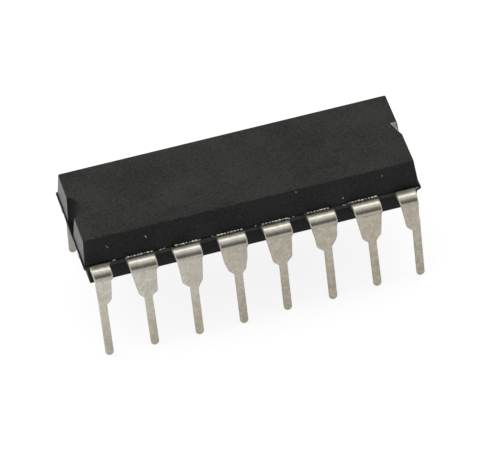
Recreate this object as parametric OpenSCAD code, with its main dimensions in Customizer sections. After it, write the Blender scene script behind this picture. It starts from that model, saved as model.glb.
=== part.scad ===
// Moulded dual in-line integrated circuit with sixteen through-hole leads, in millimetres.
// The long side lies along X with the index notch at -X, Y runs across, and Z points up.
// The origin is at the middle of the plane that the lead tips stand on.
// Leads 1 to 8 run along the front from the notch end, 9 to 16 back along the rear.

/* [Moulded body] */
// Distance from the middle of an end lead to the end of the parting ledge
end_margin = 0.66; // [0.6:0.01:0.9]
// Width of the body over the parting ledge
body_w = 6.38; // [6.1:0.02:6.7]
// Height of the upper half, above the lead frame
upper_h = 1.64; // [1.4:0.02:2.0]
// Height of the lower half, below the lead frame
lower_h = 1.39; // [1.2:0.02:1.8]
// Gap between the underside and the plane of the lead tips
standoff = 4.25; // [3.9:0.05:4.8]
// How far the parting ledge stands out at the long sides
ledge_side = 0.1; // [0.04:0.01:0.16]
// How far the parting ledge stands out at the ends, past the upper half
ledge_end = 0.08; // [0.05:0.01:0.2]
// How far it stands out there past the lower half
ledge_end_low = 0.17; // [0.1:0.01:0.25]
// Thickness that is left of the ledge at its end edges, where its underside slopes up
ledge_edge = 0.13; // [0.1:0.01:0.2]
// Draft of the long sides of the upper half, in degrees
side_draft_up = 9.7; // [5:0.1:14]
// Draft of the long sides of the lower half, in degrees
side_draft_low = 13.5; // [5:0.1:18]
// Draft of the ends of the upper half, in degrees
end_draft_up = 4.5; // [3:0.1:8]
// Draft of the ends of the lower half, in degrees
end_draft_low = 6; // [3:0.1:10]
// Width of the small bevel along the top and bottom edges
edge_bevel = 0.05; // [0.02:0.01:0.12]

/* [Index notch] */
// Radius of the notch at the top face
notch_r_top = 0.95; // [0.7:0.01:1.1]
// Radius of the notch at its floor
notch_r_floor = 0.64; // [0.4:0.01:0.75]
// Distance from the end of the ledge out to the axis of the notch
notch_axis_out = 0.18; // [0:0.01:0.3]

/* [Gate pocket at the other end] */
// Depth of the pocket in from the top edge
gate_depth = 0.31; // [0.15:0.01:0.5]
// Place of its straight far wall, across the body
gate_far_y = 0.46; // [0.4:0.01:0.8]
// Width of the pocket along the top edge
gate_w = 0.95; // [0.7:0.01:1.2]
// Height of the pocket's floor above the parting plane
gate_floor = 0.45; // [0.1:0.05:0.8]

/* [Ejector marks] */
// Diameter of the two round marks in the underside
ejector_d = 1.5; // [1:0.05:2]
// Depth of the marks
ejector_depth = 0.06; // [0.03:0.01:0.12]
// Distance between the two marks
ejector_span = 11.4; // [9:0.1:13]

/* [Leads] */
// Pitch of the leads along a row
pitch = 2.54; // [2.4:0.01:2.6]
// Distance from the side of the parting ledge out to the middle of a row. With the body's
// width it makes the standard 7.62 between the rows.
row_reach = 0.62; // [0.56:0.01:0.8]
// Thickness of the sheet that the leads are stamped from
lead_t = 0.25; // [0.2:0.01:0.32]
// Inner radius of the bend
bend_r = 0.22; // [0.15:0.01:0.28]
// Reach of the wide band over the bend to each side, seen from outside: to the left
band_to_left = 0.84; // [0.78:0.01:0.88]
// and to the right
band_to_right = 0.77; // [0.75:0.01:0.88]
// Depth of the middle of a shoulder below the lead frame
shoulder_mid = 1.15; // [1:0.01:1.3]
// Width of the shank that goes through the board
shank_w = 0.46; // [0.38:0.01:0.5]
// How far the band reaches down below the lead frame
band_drop = 0.32; // [0.31:0.01:0.5]
// Height of the small step from the band in to the shoulder
band_step = 0.08; // [0.04:0.01:0.15]
// Outer half of the band on the first lead of a row
first_band_outer = 0.34; // [0.32:0.01:0.56]
// Outer half of the band on the last lead of a row
last_band_outer = 0.29; // [0.25:0.01:0.5]

/* [Lead fingers inside] */
// Width of a finger where it enters the body
root_w = 0.9; // [0.8:0.02:1.0]
// Width of a finger at its turn
turn_w = 0.58; // [0.5:0.01:0.62]
// Distance of a finger's turn from the side of the parting ledge
turn_in = 0.6; // [0.5:0.01:0.7]
// Width of a finger half way to the die pad
mid_w = 0.42; // [0.36:0.01:0.46]
// Width of a finger at its tip
tip_w = 0.3; // [0.24:0.01:0.32]
// Depth of the wide band inside the body
band_bite = 0.3; // [0.2:0.02:0.4]
// Gap between the die pad and the tips of the fingers
finger_gap = 0.32; // [0.26:0.01:0.4]

/* [Die pad, die and wires] */
// Length of the die pad
pad_l = 4.0; // [3.8:0.05:4.2]
// Width of the die pad
pad_w = 2.5; // [2.3:0.05:2.6]
// Width of each tie bar
tie_w = 0.34; // [0.28:0.01:0.36]
// Distance of the middle of a tie bar's cut end from the side of the parting ledge
tie_end_in = 1.29; // [1.24:0.01:1.5]
// Length of the die
die_l = 2.0; // [1.7:0.05:2.2]
// Width of the die
die_w = 1.6; // [1.4:0.05:1.8]
// Thickness of the die
die_t = 0.28; // [0.2:0.01:0.35]
// Thickness of the layer that bonds the die to its pad
attach_t = 0.03; // [0.02:0.01:0.05]
// How far that layer runs out past the die
attach_rim = 0.08; // [0.04:0.01:0.12]
// Diameter of the bond wires
wire_d = 0.05; // [0.04:0.01:0.06]
// Rise of a bond wire above the straight line between its ends
wire_rise = 0.22; // [0.15:0.01:0.28]
// Diameter of the ball at the die end of a wire
ball_d = 0.11; // [0.09:0.01:0.14]
// Height of that ball
ball_h = 0.05; // [0.04:0.01:0.08]

/* [Hidden] */
leads_per_side = 8;
$fn = 48;
// How far a cutting shape reaches past the face that it cuts, and the overlap of joined strips
cut = 0.5;
lap = 0.02;

// Heights above the plane of the lead tips
frame_z = standoff + lower_h;
frame_top = frame_z + lead_t;

// Body outline at the parting ledge
body_l = (leads_per_side - 1) * pitch + 2 * end_margin;

// How far each lead from 1 to 16 leans outward, in degrees. Handling leaves a row uneven.
lean = [3.6, 4.2, 4.8, 4.7, 2.6, 2.9, 0.9, 0.6, 2.4, 2.8, 3.0, 3.4, 3.9, 4.2, 4.8, 4.8];
// How far each shank lies to the right of its lead's middle, at its start and at its tip
sway = [[0.01, 0.02], [0.02, 0.04], [0.05, 0.04], [0.04, 0.03], [0.04, 0.04], [0.08, 0.08],
    [0.06, 0.13], [0.06, 0.08], [0.03, 0.02], [0.02, 0.04], [0.04, 0.06], [0.03, 0.03],
    [0.05, 0.04], [0.02, 0.03], [0.04, 0.02], [-0.1, -0.06]];
// How far the tip of each lead stays above the plane that the part stands on
tip_lift = [0, 0, 0, 0, 0, 0, 0, 0, 0, 0, 0, 0, 0, 0, 0, 0.15];
// The two sides of each shoulder of a row, seen from outside: half width under the band, at the
// middle and at the end, the drop of that end below the frame, and the drop where the shank begins.
left_side = [[0.26, 0.24, 0.23, 1.64, 2.04], [0.73, 0.61, 0.48, 1.89, 2.18], [0.69, 0.61, 0.57, 1.84, 2.22],
    [0.76, 0.67, 0.49, 1.77, 2.09], [0.74, 0.63, 0.50, 1.98, 2.29], [0.72, 0.58, 0.53, 1.69, 2.07],
    [0.72, 0.61, 0.48, 1.96, 2.30], [0.70, 0.60, 0.50, 1.86, 2.25]];
right_side = [[0.65, 0.60, 0.53, 1.77, 2.02], [0.67, 0.62, 0.58, 1.91, 2.13], [0.71, 0.64, 0.59, 1.82, 2.40],
    [0.70, 0.64, 0.49, 1.87, 2.13], [0.68, 0.64, 0.59, 1.86, 2.19], [0.71, 0.66, 0.53, 1.50, 1.83],
    [0.71, 0.65, 0.59, 1.83, 2.24], [0.28, 0.26, 0.30, 1.72, 1.90]];
bend_reach = bend_r + lead_t;
bend_y = body_w / 2 + row_reach + lead_t / 2 - bend_reach;
bend_z = frame_z - bend_r;
shank_half = shank_w / 2;
tip_steps = 8;

// Fingers of one quarter of the frame, from the middle of a row to its end. A finger runs in
// from the edge of the body, turns, passes a knee and ends beside the die pad. For each finger:
// how far its knee lies back along the body, and the knee's share of the way from tip to turn.
knee_back = [0.27, 1.21, 1.75, 1.89];
knee_share = [0.49, 0.42, 0.34, 0.34];
half_pad_l = pad_l / 2;
half_pad_w = pad_w / 2;
tie_run_y = tie_w / 2 - lap;
tie_turn_in = 0.45;
tie_join_in = 1.55;
// Room between the tie bars and the nearest finger, and between the two tips beside them
finger_clear = 0.17;
tip_clear = 0.28;
end_tip_x = half_pad_l + finger_gap + 0.05;
end_tip_y = tie_run_y + tie_w / 2 + finger_clear + tip_w / 2;
finger_tip = [[0.75, half_pad_w + finger_gap], [half_pad_l - 0.2, half_pad_w + finger_gap + 0.08],
    [end_tip_x, end_tip_y + tip_w + tip_clear], [end_tip_x, end_tip_y]];

// How far in from the edges of the die each wire of a quarter is bonded, along and across
bond_inset = [[0.7, 0.12], [0.25, 0.12], [0.12, 0.4], [0.12, 0.67]];
stitch_back = 0.12;
die_z = frame_top + attach_t;
die_top = die_z + die_t;

function unit(v) = v / norm(v);
function left_of(v) = [-v.y, v.x];
function leg(path, i) = unit(path[i + 1] - path[i]);
function mitre(path, i) =
    let (a = left_of(leg(path, max(i - 1, 0))),
        b = left_of(leg(path, min(i, len(path) - 2))),
        m = unit(a + b))
    m / (m * a);

// Outline of a flat strip that follows a path, with a width at each of its points
function strip(path, w) = concat(
    [for (i = [0 : len(path) - 1]) path[i] + mitre(path, i) * w[i] / 2],
    [for (i = [len(path) - 1 : -1 : 0]) path[i] - mitre(path, i) * w[i] / 2]);

// Place of a lead in its row, its place counted from the middle of the row, and its side
function lead_x(i) = (i - (leads_per_side - 1) / 2) * pitch;
function rank(i) = i < leads_per_side / 2 ? leads_per_side / 2 - 1 - i : i - leads_per_side / 2;
function side_of(i) = i < leads_per_side / 2 ? -1 : 1;
function front(i, p) = [side_of(i) * p.x, -p.y];
function band_left(i) = i == 0 ? first_band_outer : band_to_left;
function band_right(i) = i == leads_per_side - 1 ? last_band_outer : band_to_right;

function finger_path(i) =
    let (k = rank(i), x = abs(lead_x(i)), turn_y = body_w / 2 - turn_in, tip_y = finger_tip[k].y)
    [for (p = [[x, body_w / 2 - band_bite / 2], [x, turn_y],
        [x - knee_back[k], tip_y + knee_share[k] * (turn_y - tip_y)], finger_tip[k]]) front(i, p)];

// Outline of a lead below the bend, in the plane of its leaning blade, with the tip at the
// bottom. Heights on the blade's outer face, below the frame, become places along the blade.
function along(drop, lean_by) = (bend_r - drop - bend_reach * sin(lean_by)) / cos(lean_by);
function edge(band, side, shift, lean_by) = [[band, 0], [band, along(band_drop, lean_by)],
    [side[0], along(band_drop + band_step, lean_by)], [side[1], along(shoulder_mid, lean_by)],
    [side[2], along(side[3], lean_by)], [shank_half + shift, along(side[4], lean_by)]];
function round_tip(x, y) = [for (s = [0 : tip_steps])
    let (a = 180 * s / tip_steps)
    [x + shank_half * cos(a), y - shank_half * sin(a)]];
function mirrored(points) = [for (j = [len(points) - 1 : -1 : 0]) [-points[j].x, points[j].y]];

// Rectangle with sloping sides, standing on the parting, in the plane of its own width
module drafted_profile(half, h, draft) {
    half_far = half - h * tan(draft);
    polygon([[-half, 0], [half, 0], [half_far + edge_bevel * tan(draft), h - edge_bevel],
        [half_far - edge_bevel, h], [edge_bevel - half_far, h],
        [-half_far - edge_bevel * tan(draft), h - edge_bevel]]);
}

// One moulded half, standing up from the parting
module moulded_half(h, side_draft, end_draft, end_in) {
    half_l = body_l / 2 - end_in;
    half_w = body_w / 2 - ledge_side;
    intersection() {
        rotate([90, 0, 0]) linear_extrude(body_w, center = true) drafted_profile(half_l, h, end_draft);
        rotate([90, 0, 90]) linear_extrude(body_l, center = true) drafted_profile(half_w, h, side_draft);
    }
}

// Sheet between the halves, whose underside slopes up towards its two ends
module parting_ledge() {
    half_l = body_l / 2;
    low_l = half_l - ledge_end_low;
    translate([0, 0, frame_z]) rotate([90, 0, 0]) linear_extrude(body_w, center = true)
        polygon([[-low_l, 0], [low_l, 0], [half_l, lead_t - ledge_edge], [half_l, lead_t],
            [-half_l, lead_t], [-half_l, lead_t - ledge_edge]]);
}

module index_notch() {
    grow = (notch_r_top - notch_r_floor) / upper_h;
    translate([-body_l / 2 - notch_axis_out, 0, frame_top])
        cylinder(h = upper_h + cut, r1 = notch_r_floor, r2 = notch_r_top + cut * grow);
}

module gate_pocket() {
    top_end = body_l / 2 - ledge_end - upper_h * tan(end_draft_up);
    slope = gate_w / gate_depth;
    translate([0, 0, frame_top + gate_floor]) linear_extrude(upper_h)
        polygon([[top_end - gate_depth, gate_far_y], [top_end + cut, gate_far_y - gate_w - slope * cut],
            [top_end + cut, gate_far_y]]);
}

module ejector_marks() {
    for (s = [-1, 1]) translate([s * ejector_span / 2, 0, standoff - cut])
        cylinder(h = cut + ejector_depth, d = ejector_d);
}

// Everything metal or silicon that the moulding closes round
module embedded() {
    for (n = [1 : 2 * leads_per_side]) {
        at_lead(n) finger(lead_index(n));
        at_lead(n) wire_solid(lead_index(n));
    }
    pad_solid();
    attach_solid();
    die_solid();
}

module body() {
    color([0.22, 0.22, 0.21]) difference() {
        union() {
            translate([0, 0, frame_top]) moulded_half(upper_h, side_draft_up, end_draft_up, ledge_end);
            parting_ledge();
            translate([0, 0, frame_z]) mirror([0, 0, 1])
                moulded_half(lower_h, side_draft_low, end_draft_low, ledge_end_low);
        }
        index_notch();
        gate_pocket();
        ejector_marks();
        embedded();
    }
}

// The rear row is the front row turned half round
function lead_index(n) = (n - 1) % leads_per_side;
module at_lead(n) {
    rotate([0, 0, n > leads_per_side ? 180 : 0]) children();
}

// Flat part of a lead of the front row, from its finger tip to where the bend starts
module finger(i) {
    x = lead_x(i);
    band_in = body_w / 2 - band_bite;
    translate([0, 0, frame_z]) linear_extrude(lead_t) union() {
        polygon(strip(finger_path(i), [root_w, turn_w, mid_w, tip_w]));
        translate([x - band_left(i), -bend_y]) square([band_left(i) + band_right(i), bend_y - band_in]);
    }
}

module bend(i, lean_by) {
    translate([lead_x(i), -bend_y, bend_z]) rotate([0, 90, 0]) rotate([0, 0, 180])
        rotate_extrude(angle = 90 - lean_by)
            translate([bend_r, -band_left(i)]) square([lead_t, band_left(i) + band_right(i)]);
}

// Shoulder and shank as one flat plate that carries on from the bend. The inner edge of its
// rounded tip touches the plane that the part stands on, or stays just above it.
module blade(i, n) {
    lean_by = lean[n - 1];
    at_start = sway[n - 1][0];
    tip_y = (tip_lift[n - 1] - bend_z - bend_r * sin(lean_by)) / cos(lean_by) + shank_half;
    left = edge(band_left(i), left_side[i], -at_start, lean_by);
    right = edge(band_right(i), right_side[i], at_start, lean_by);
    translate([lead_x(i), -bend_y, bend_z]) rotate([90 - lean_by, 0, 0]) translate([0, 0, bend_r])
        linear_extrude(lead_t) polygon(concat(right, round_tip(sway[n - 1][1], tip_y), mirrored(left)));
}

module lead(n) {
    i = lead_index(n);
    color([0.74, 0.72, 0.67]) at_lead(n) union() {
        finger(i);
        bend(i, lean[n - 1]);
        blade(i, n);
    }
}

// Pad with two tie bars to each end of the body, one on each side of the notch
module pad_solid() {
    tie_path = [[half_pad_l - tie_w, tie_run_y], [body_l / 2 - tie_join_in, tie_run_y],
        [body_l / 2 - tie_turn_in, body_w / 2 - tie_end_in], [body_l / 2, body_w / 2 - tie_end_in]];
    translate([0, 0, frame_z]) union() {
        translate([-half_pad_l, -half_pad_w, 0]) cube([pad_l, pad_w, lead_t]);
        for (mx = [0, 1], my = [0, 1]) mirror([mx, 0, 0]) mirror([0, my, 0])
            linear_extrude(lead_t) polygon(strip(tie_path, [tie_w, tie_w, tie_w, tie_w]));
    }
}

module die_pad() {
    color([0.7, 0.68, 0.63]) pad_solid();
}

module attach_solid() {
    translate([-die_l / 2 - attach_rim, -die_w / 2 - attach_rim, frame_top])
        cube([die_l + 2 * attach_rim, die_w + 2 * attach_rim, attach_t]);
}

module die_attach() {
    color([0.62, 0.62, 0.64]) attach_solid();
}

module die_solid() {
    translate([-die_l / 2, -die_w / 2, die_z]) cube([die_l, die_w, die_t]);
}

module die() {
    color([0.32, 0.34, 0.4]) die_solid();
}

// A wire is one arc in an upright plane, from the top of its ball to the tip of a finger
module wire_solid(i) {
    k = rank(i);
    path = finger_path(i);
    stitch_xy = path[3] + unit(path[2] - path[3]) * stitch_back;
    spot_xy = front(i, [die_l / 2, die_w / 2] - bond_inset[k]);
    spot = [spot_xy.x, spot_xy.y, die_top];
    from = spot + [0, 0, ball_h];
    to = [stitch_xy.x, stitch_xy.y, frame_top];
    span = to - from;
    chord = norm(span);
    arc_r = (chord * chord / 4 + wire_rise * wire_rise) / (2 * wire_rise);
    half_angle = asin(chord / 2 / arc_r);
    heading = atan2(span.y, span.x);
    dip = asin(-span.z / chord);
    translate(spot) cylinder(h = ball_h, d = ball_d);
    translate((from + to) / 2) rotate([0, 0, heading]) rotate([0, dip, 0])
        translate([0, 0, wire_rise - arc_r]) rotate([90, 0, 0]) rotate([0, 0, 90 - half_angle])
            rotate_extrude(angle = 2 * half_angle) translate([arc_r, 0]) circle(d = wire_d);
}

module bond_wire(n) {
    color([0.86, 0.66, 0.26]) at_lead(n) wire_solid(lead_index(n));
}

body();
for (n = [1 : 2 * leads_per_side]) lead(n);
die_pad();
die_attach();
die();
for (n = [1 : 2 * leads_per_side]) bond_wire(n);
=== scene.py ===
# %% [markdown]
# # A moulded chip with sixteen leads
# A dual in-line package is a black epoxy body, moulded round a sheet-metal frame whose leads
# are bent down to go through a circuit board. This script dresses its CAD model, in metres,
# with the index notch at -X and the lead tips on the plane z = 0.

# %% Load the fixed model
from math import acos, ceil, cos, hypot, pi, radians, sin, tan

import bmesh
import bpy
import numpy as np
from mathutils import Matrix, Vector, noise
from mathutils.geometry import tessellate_polygon


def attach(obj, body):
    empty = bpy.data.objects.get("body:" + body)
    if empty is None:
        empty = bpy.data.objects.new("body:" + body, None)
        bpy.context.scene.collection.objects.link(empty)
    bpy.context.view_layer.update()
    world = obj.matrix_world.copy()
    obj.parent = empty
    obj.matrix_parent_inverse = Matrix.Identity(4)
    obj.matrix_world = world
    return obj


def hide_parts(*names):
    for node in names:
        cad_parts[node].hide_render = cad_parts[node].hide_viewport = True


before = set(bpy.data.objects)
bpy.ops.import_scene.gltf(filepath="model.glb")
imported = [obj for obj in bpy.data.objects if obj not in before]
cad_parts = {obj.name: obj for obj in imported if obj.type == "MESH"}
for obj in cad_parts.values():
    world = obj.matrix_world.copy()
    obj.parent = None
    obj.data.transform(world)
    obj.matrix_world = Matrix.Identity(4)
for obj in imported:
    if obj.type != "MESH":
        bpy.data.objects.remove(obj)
scene = bpy.context.scene
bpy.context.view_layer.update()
MM = 0.001


def in_mm(corners):
    return [[round(float(v) / MM, 3) for v in corner] for corner in corners]


# %% [markdown]
# ## Camera
# The leads of such a package stand 2.54 mm apart, so their places in a picture say where the
# camera stood. These numbers come from fitting about forty corners of the part: a long lens,
# 35 cm away, looking down at 44 degrees, turned 11 degrees to the left and slightly rolled.

# %% Camera
IMAGE_WIDTH = 494
SENSOR_WIDTH = 36.0
FOCAL_PIXELS = 6286.5
AZIMUTH, ELEVATION, ROLL = (radians(a) for a in (-11.124, 43.802, -6.005))
DISTANCE = 346.95 * MM
TARGET = Vector((0.238, 0.0, 2.244)) * MM

forward = Vector((-sin(AZIMUTH) * cos(ELEVATION),
                  cos(AZIMUTH) * cos(ELEVATION), -sin(ELEVATION)))
right = forward.cross(Vector((0, 0, 1))).normalized()
up = right.cross(forward)
right, up = (cos(ROLL) * right + sin(ROLL) * up,
             -sin(ROLL) * right + cos(ROLL) * up)


def placed_in_scene(name, data):
    thing = bpy.data.objects.new(name, data)
    scene.collection.objects.link(thing)
    return thing


camera_data = bpy.data.cameras.new("camera")
camera_data.sensor_width = SENSOR_WIDTH
camera_data.lens = FOCAL_PIXELS * SENSOR_WIDTH / IMAGE_WIDTH
camera_data.clip_start, camera_data.clip_end = 0.01, 10
camera = placed_in_scene("camera", camera_data)
camera.matrix_world = Matrix.Translation(TARGET - forward * DISTANCE) @ Matrix(
    [right, up, -forward]).transposed().to_4x4()
scene.camera = camera
scene.view_settings.view_transform = "Standard"
print("camera at", in_mm([camera.location]), "lens", round(camera_data.lens, 1))

# %% [markdown]
# ## Sizes
# The new pieces repeat the sizes of the CAD source, in millimetres. The moulding has two
# drafted halves that meet in a thin ledge, at the height of the lead frame. Only the bend's
# inner radius is larger than in the source (0.31 for 0.22 mm, with the same outer reach),
# because the broader roll catches the light as the real one does.

# %% Sizes of the moulding and of the frame
PITCH = 2.54
ROW_SPAN = 7.62
FRAME_Z, FRAME_TOP = 5.64, 5.89
UNDERSIDE_Z, TOP_Z = 4.25, 7.53
HALF_L, HALF_L_LOW, HALF_W = 9.47, 9.38, 3.09
LEDGE_L, LEDGE_W, LEDGE_EDGE = 9.55, 3.19, 0.13
DRAFT = {"up": (4.5, 9.7), "low": (6.0, 13.5)}
NOTCH_X, NOTCH_R_TOP, NOTCH_R_FLOOR = -9.73, 0.95, 0.64
GATE_DEPTH, GATE_FAR_Y, GATE_W, GATE_FLOOR = 0.31, 0.46, 0.95, 0.45
EJECTOR_D, EJECTOR_DEPTH, EJECTOR_SPAN = 1.5, 0.06, 11.4
LEAD_T, BEND_R = 0.25, 0.31
BEND_REACH = BEND_R + LEAD_T
BEND_Y, BEND_Z = (ROW_SPAN + LEAD_T) / 2 - BEND_REACH, FRAME_Z - BEND_R
print("ledge", 2 * LEDGE_L, "x", 2 * LEDGE_W, "mm, bend axis", BEND_Y, BEND_Z)

# %% [markdown]
# ## Helpers for node trees
# Every finish below is a small tree of nodes. One helper adds a node, fills or links its
# inputs and gives back its outputs. The others wrap the nodes used most.

# %% Node helpers
def add(tree, kind, inputs=None, **settings):
    node = tree.nodes.new(kind)
    for name, value in settings.items():
        setattr(node, name, value)
    for name, value in (inputs or {}).items():
        if isinstance(value, bpy.types.NodeSocket):
            tree.links.new(value, node.inputs[name])
        else:
            node.inputs[name].default_value = value
    return node.outputs


def calc(tree, operation, *values, clamp=False):
    return add(tree, "ShaderNodeMath", dict(enumerate(values)), operation=operation,
               use_clamp=clamp)[0]


def times(tree, a, b):
    return calc(tree, "MULTIPLY", a, b)


def vector_math(tree, operation, a, b):
    return add(tree, "ShaderNodeVectorMath", {0: a, 1: b}, operation=operation)[0]


def span(tree, value, low, high, to_low=0.0, to_high=1.0):
    """Carries low..high to to_low..to_high, smoothly and without going past them."""
    return add(tree, "ShaderNodeMapRange",
               {0: value, 1: low, 2: high, 3: to_low, 4: to_high},
               interpolation_type="SMOOTHSTEP")[0]


def grain(tree, place, scale, detail=2.0, roughness=0.5, distortion=0.0):
    return add(tree, "ShaderNodeTexNoise",
               {"Vector": place, "Scale": scale, "Detail": detail, "Roughness": roughness,
                "Distortion": distortion})[0]


def blend_colour(tree, factor, a, b):
    return add(tree, "ShaderNodeMix", {0: factor, 6: a, 7: b}, data_type="RGBA")[2]


def colour(r, g, b):
    return (r, g, b, 1.0)


print("node helpers ready")

# %% [markdown]
# ## Helpers for finishes
# Each finish is a Principled shader with noise in its colour, gloss and relief. One helper
# makes the material, the other links what was made. The noise reads Object coordinates in
# millimetres, so the grain keeps its true size. Bump is enough for the relief, because this
# grain is at most a few hundredths of a millimetre deep.

# %% Finish helpers
def finish_tree(name, display):
    """A new material, its tree, and the place of a point in millimetres."""
    material = bpy.data.materials.new(name)
    material.use_nodes = True
    material.diffuse_color = display
    tree = material.node_tree
    place = add(tree, "ShaderNodeTexCoord")["Object"]
    return material, tree, vector_math(tree, "MULTIPLY", place, (1 / MM,) * 3)


def dressed(material, base, roughness, height, strength, depth_mm, metallic=0.0, specular=0.5):
    tree = material.node_tree
    shader = tree.nodes["Principled BSDF"].inputs
    bump = add(tree, "ShaderNodeBump", {"Height": height, "Strength": strength,
                                        "Distance": depth_mm * MM})[0]
    for name, value in (("Base Color", base), ("Roughness", roughness), ("Normal", bump)):
        tree.links.new(value, shader[name])
    shader["Metallic"].default_value = metallic
    shader["Specular IOR Level"].default_value = specular
    return material


print("finish helpers ready")

# %% [markdown]
# ## Finish: moulding compound
# The compound is epoxy filled with silica and carbon black. The mould gives the top a fine
# spark-eroded grain, which scatters light and looks olive grey. The drafted sides slide along
# the mould when the part comes out, so they are smoother and look nearly black. The flash and
# the broken gate show raw resin. The end faces get a lighter, glossier copy of the side finish,
# as a painted highlight, and the lower half and the notch get darker copies, as painted shade.
# All are one tree with other numbers: a low noise in colour, gloss and bump, and a few pale
# flecks.

# %% Moulding finishes
BROAD_PER_MM, BROAD_SHARE = 0.45, 0.28
FLECKS_PER_MM, FLECK_R, FLECK_CHANCE = 2.3, 0.05, 0.2


def moulding_finish(name, dark, light, gloss, specular, grain_per_mm, depth_mm, fleck):
    dark, light, fleck = colour(*dark), colour(*light), colour(*fleck)
    material, tree, place = finish_tree(name, dark)
    fine = grain(tree, place, grain_per_mm, 3.0, 0.6)
    broad = grain(tree, place, BROAD_PER_MM, 2.0, 0.5, 0.4)
    mottle = calc(tree, "MULTIPLY_ADD", broad, BROAD_SHARE,
                  times(tree, fine, 1 - BROAD_SHARE))
    tint = blend_colour(tree, span(tree, mottle, 0.36, 0.62), dark, light)
    spots = add(tree, "ShaderNodeTexVoronoi", {"Vector": place, "Scale": FLECKS_PER_MM})
    spot = span(tree, spots["Distance"], FLECK_R, 0.6 * FLECK_R)
    number = add(tree, "ShaderNodeSeparateColor", {0: spots["Color"]})[0]
    chosen = calc(tree, "GREATER_THAN", number, 1 - FLECK_CHANCE)
    tint = blend_colour(tree, times(tree, spot, chosen), tint, fleck)
    roughness = span(tree, fine, 0.3, 0.7, gloss - 0.06, gloss + 0.08)
    return dressed(material, tint, roughness, fine, 0.6, depth_mm, specular=specular)


# Each row: dark, light, roughness, specular, grains per mm, depth in mm, fleck.
MOULDINGS = {
    "textured_moulding": ((0.0032, 0.0037, 0.0025), (0.0245, 0.0255, 0.0212), 0.64, 0.24,
                          8.0, 0.020, (0.05, 0.05, 0.045)),
    "drafted_moulding": ((0.0075, 0.0075, 0.008), (0.0215, 0.0215, 0.022), 0.40, 0.11,
                         9.0, 0.005, (0.03, 0.03, 0.03)),
    # A lighter, glossier copy of the drafted finish: a painted highlight on the end faces.
    "end_highlight_moulding": ((0.012, 0.012, 0.012), (0.022, 0.022, 0.021), 0.34, 0.30,
                     9.0, 0.005, (0.04, 0.04, 0.04)),
    "parting_flash": ((0.008, 0.008, 0.0075), (0.045, 0.045, 0.042), 0.55, 0.2,
                      7.0, 0.03, (0.12, 0.118, 0.11)),
    "broken_resin": ((0.27, 0.265, 0.235), (0.54, 0.53, 0.46), 0.75, 0.3,
                     6.0, 0.03, (0.55, 0.54, 0.50)),
    # A darker copy of the drafted finish: painted shade on the lower half, under the ledge.
    "lower_shade_moulding": ((0.004, 0.004, 0.0042), (0.010, 0.010, 0.0102), 0.45, 0.045,
                       9.0, 0.005, (0.03, 0.03, 0.03)),
    # Another darker copy of the drafted finish: painted shade in the notch.
    "notch_shade_moulding": ((0.0065, 0.0065, 0.0065), (0.0155, 0.0155, 0.0155), 0.43, 0.07,
                       9.0, 0.005, (0.03, 0.03, 0.03))}
body_finishes = [moulding_finish(name, *row) for name, row in MOULDINGS.items()]
TOP, SIDE, END_HIGHLIGHT, FLASH, BROKEN, UNDER_SHADE, NOTCH_SHADE = range(len(body_finishes))
# Near-white resin for the specks and the exit flakes; at the exits it is partly a painted
# highlight on the lead's edge.
bleed_and_highlight_finish = moulding_finish("resin_bleed_and_highlight", (0.60, 0.59, 0.55), (0.95, 0.94, 0.90), 0.6, 0.3,
                               8.0, 0.02, (0.7, 0.69, 0.66))
print("moulding finishes:", [m.name for m in body_finishes])

# %% [markdown]
# ## Finish: tinned lead
# The leads are plated with matt tin, and each stage of their life left marks in its own
# place. So the tree first asks where a point lies: its height tells the flat part, the bend
# and the blade apart, and its normal tells the broad faces from the sheared edges. It also
# makes the noises that several layers share.

# %% Tin: places and shared noises
BEND_FOOT = FRAME_Z - 0.18
# Heights of the dark band painted low on the bend: a painted reflection of the dark horizon in
# front.
DARK_BAND_LOW, DARK_BAND_TOP, DARK_BAND_FADE = FRAME_Z - 0.31, FRAME_Z + 0.06, 0.16
FLAT_FROM, FLAT_FULL = FRAME_TOP - 0.035, FRAME_TOP - 0.004
STREAK_SHAPE = (7.0, 7.0, 0.35)


def tin_places(tree, place):
    x, y, height = add(tree, "ShaderNodeSeparateXYZ", {0: place})
    normal = add(tree, "ShaderNodeNewGeometry")["Normal"]
    facing_x, facing_y = add(tree, "ShaderNodeSeparateXYZ", {0: normal})[:2]
    sheared = span(tree, calc(tree, "ABSOLUTE", facing_x), 0.30, 0.70)
    cloud, speckle = grain(tree, place, 1.6, 3.0, 0.6, 0.5), grain(tree, place, 7.0, 2.0, 0.6)
    return {
        "x": x, "y": y, "height": height,
        "broad face": calc(tree, "SUBTRACT", 1.0, sheared),
        # Faces turned toward the body, which take painted shade in the colour.
        "toward the body": span(tree, times(tree, facing_y, y), -1.0, -3.0),
        "blade": span(tree, height, BEND_FOOT + 0.06, BEND_FOOT - 0.10),
        "speckle": speckle,
        "mottle": calc(tree, "MULTIPLY_ADD", cloud, 0.6, times(tree, speckle, 0.4)),
        "streaks": grain(tree, vector_math(tree, "MULTIPLY", place, STREAK_SHAPE), 1.0, 3.0, 0.65)}


print("bend foot", BEND_FOOT, "mm, rubbed from", round(DARK_BAND_LOW, 2), "to", round(DARK_BAND_TOP, 2))

# %% [markdown]
# ## Tin: colour
# The colour is laid on in layers: tin mottled between clean and worn, stains, small dark dots,
# grey scuffs, and a brown tarnishing that is strongest at the tips and on the far leads to the
# right, with pale patches left in it. The same brown on the rear row is painted shade, and so is
# the scuffs' grey on the faces toward the body. Last comes a dark band low on the bend, a painted
# reflection of the dark horizon in front. The forming tool wiped the bend, so stains and scuffs
# are weaker there.

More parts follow.
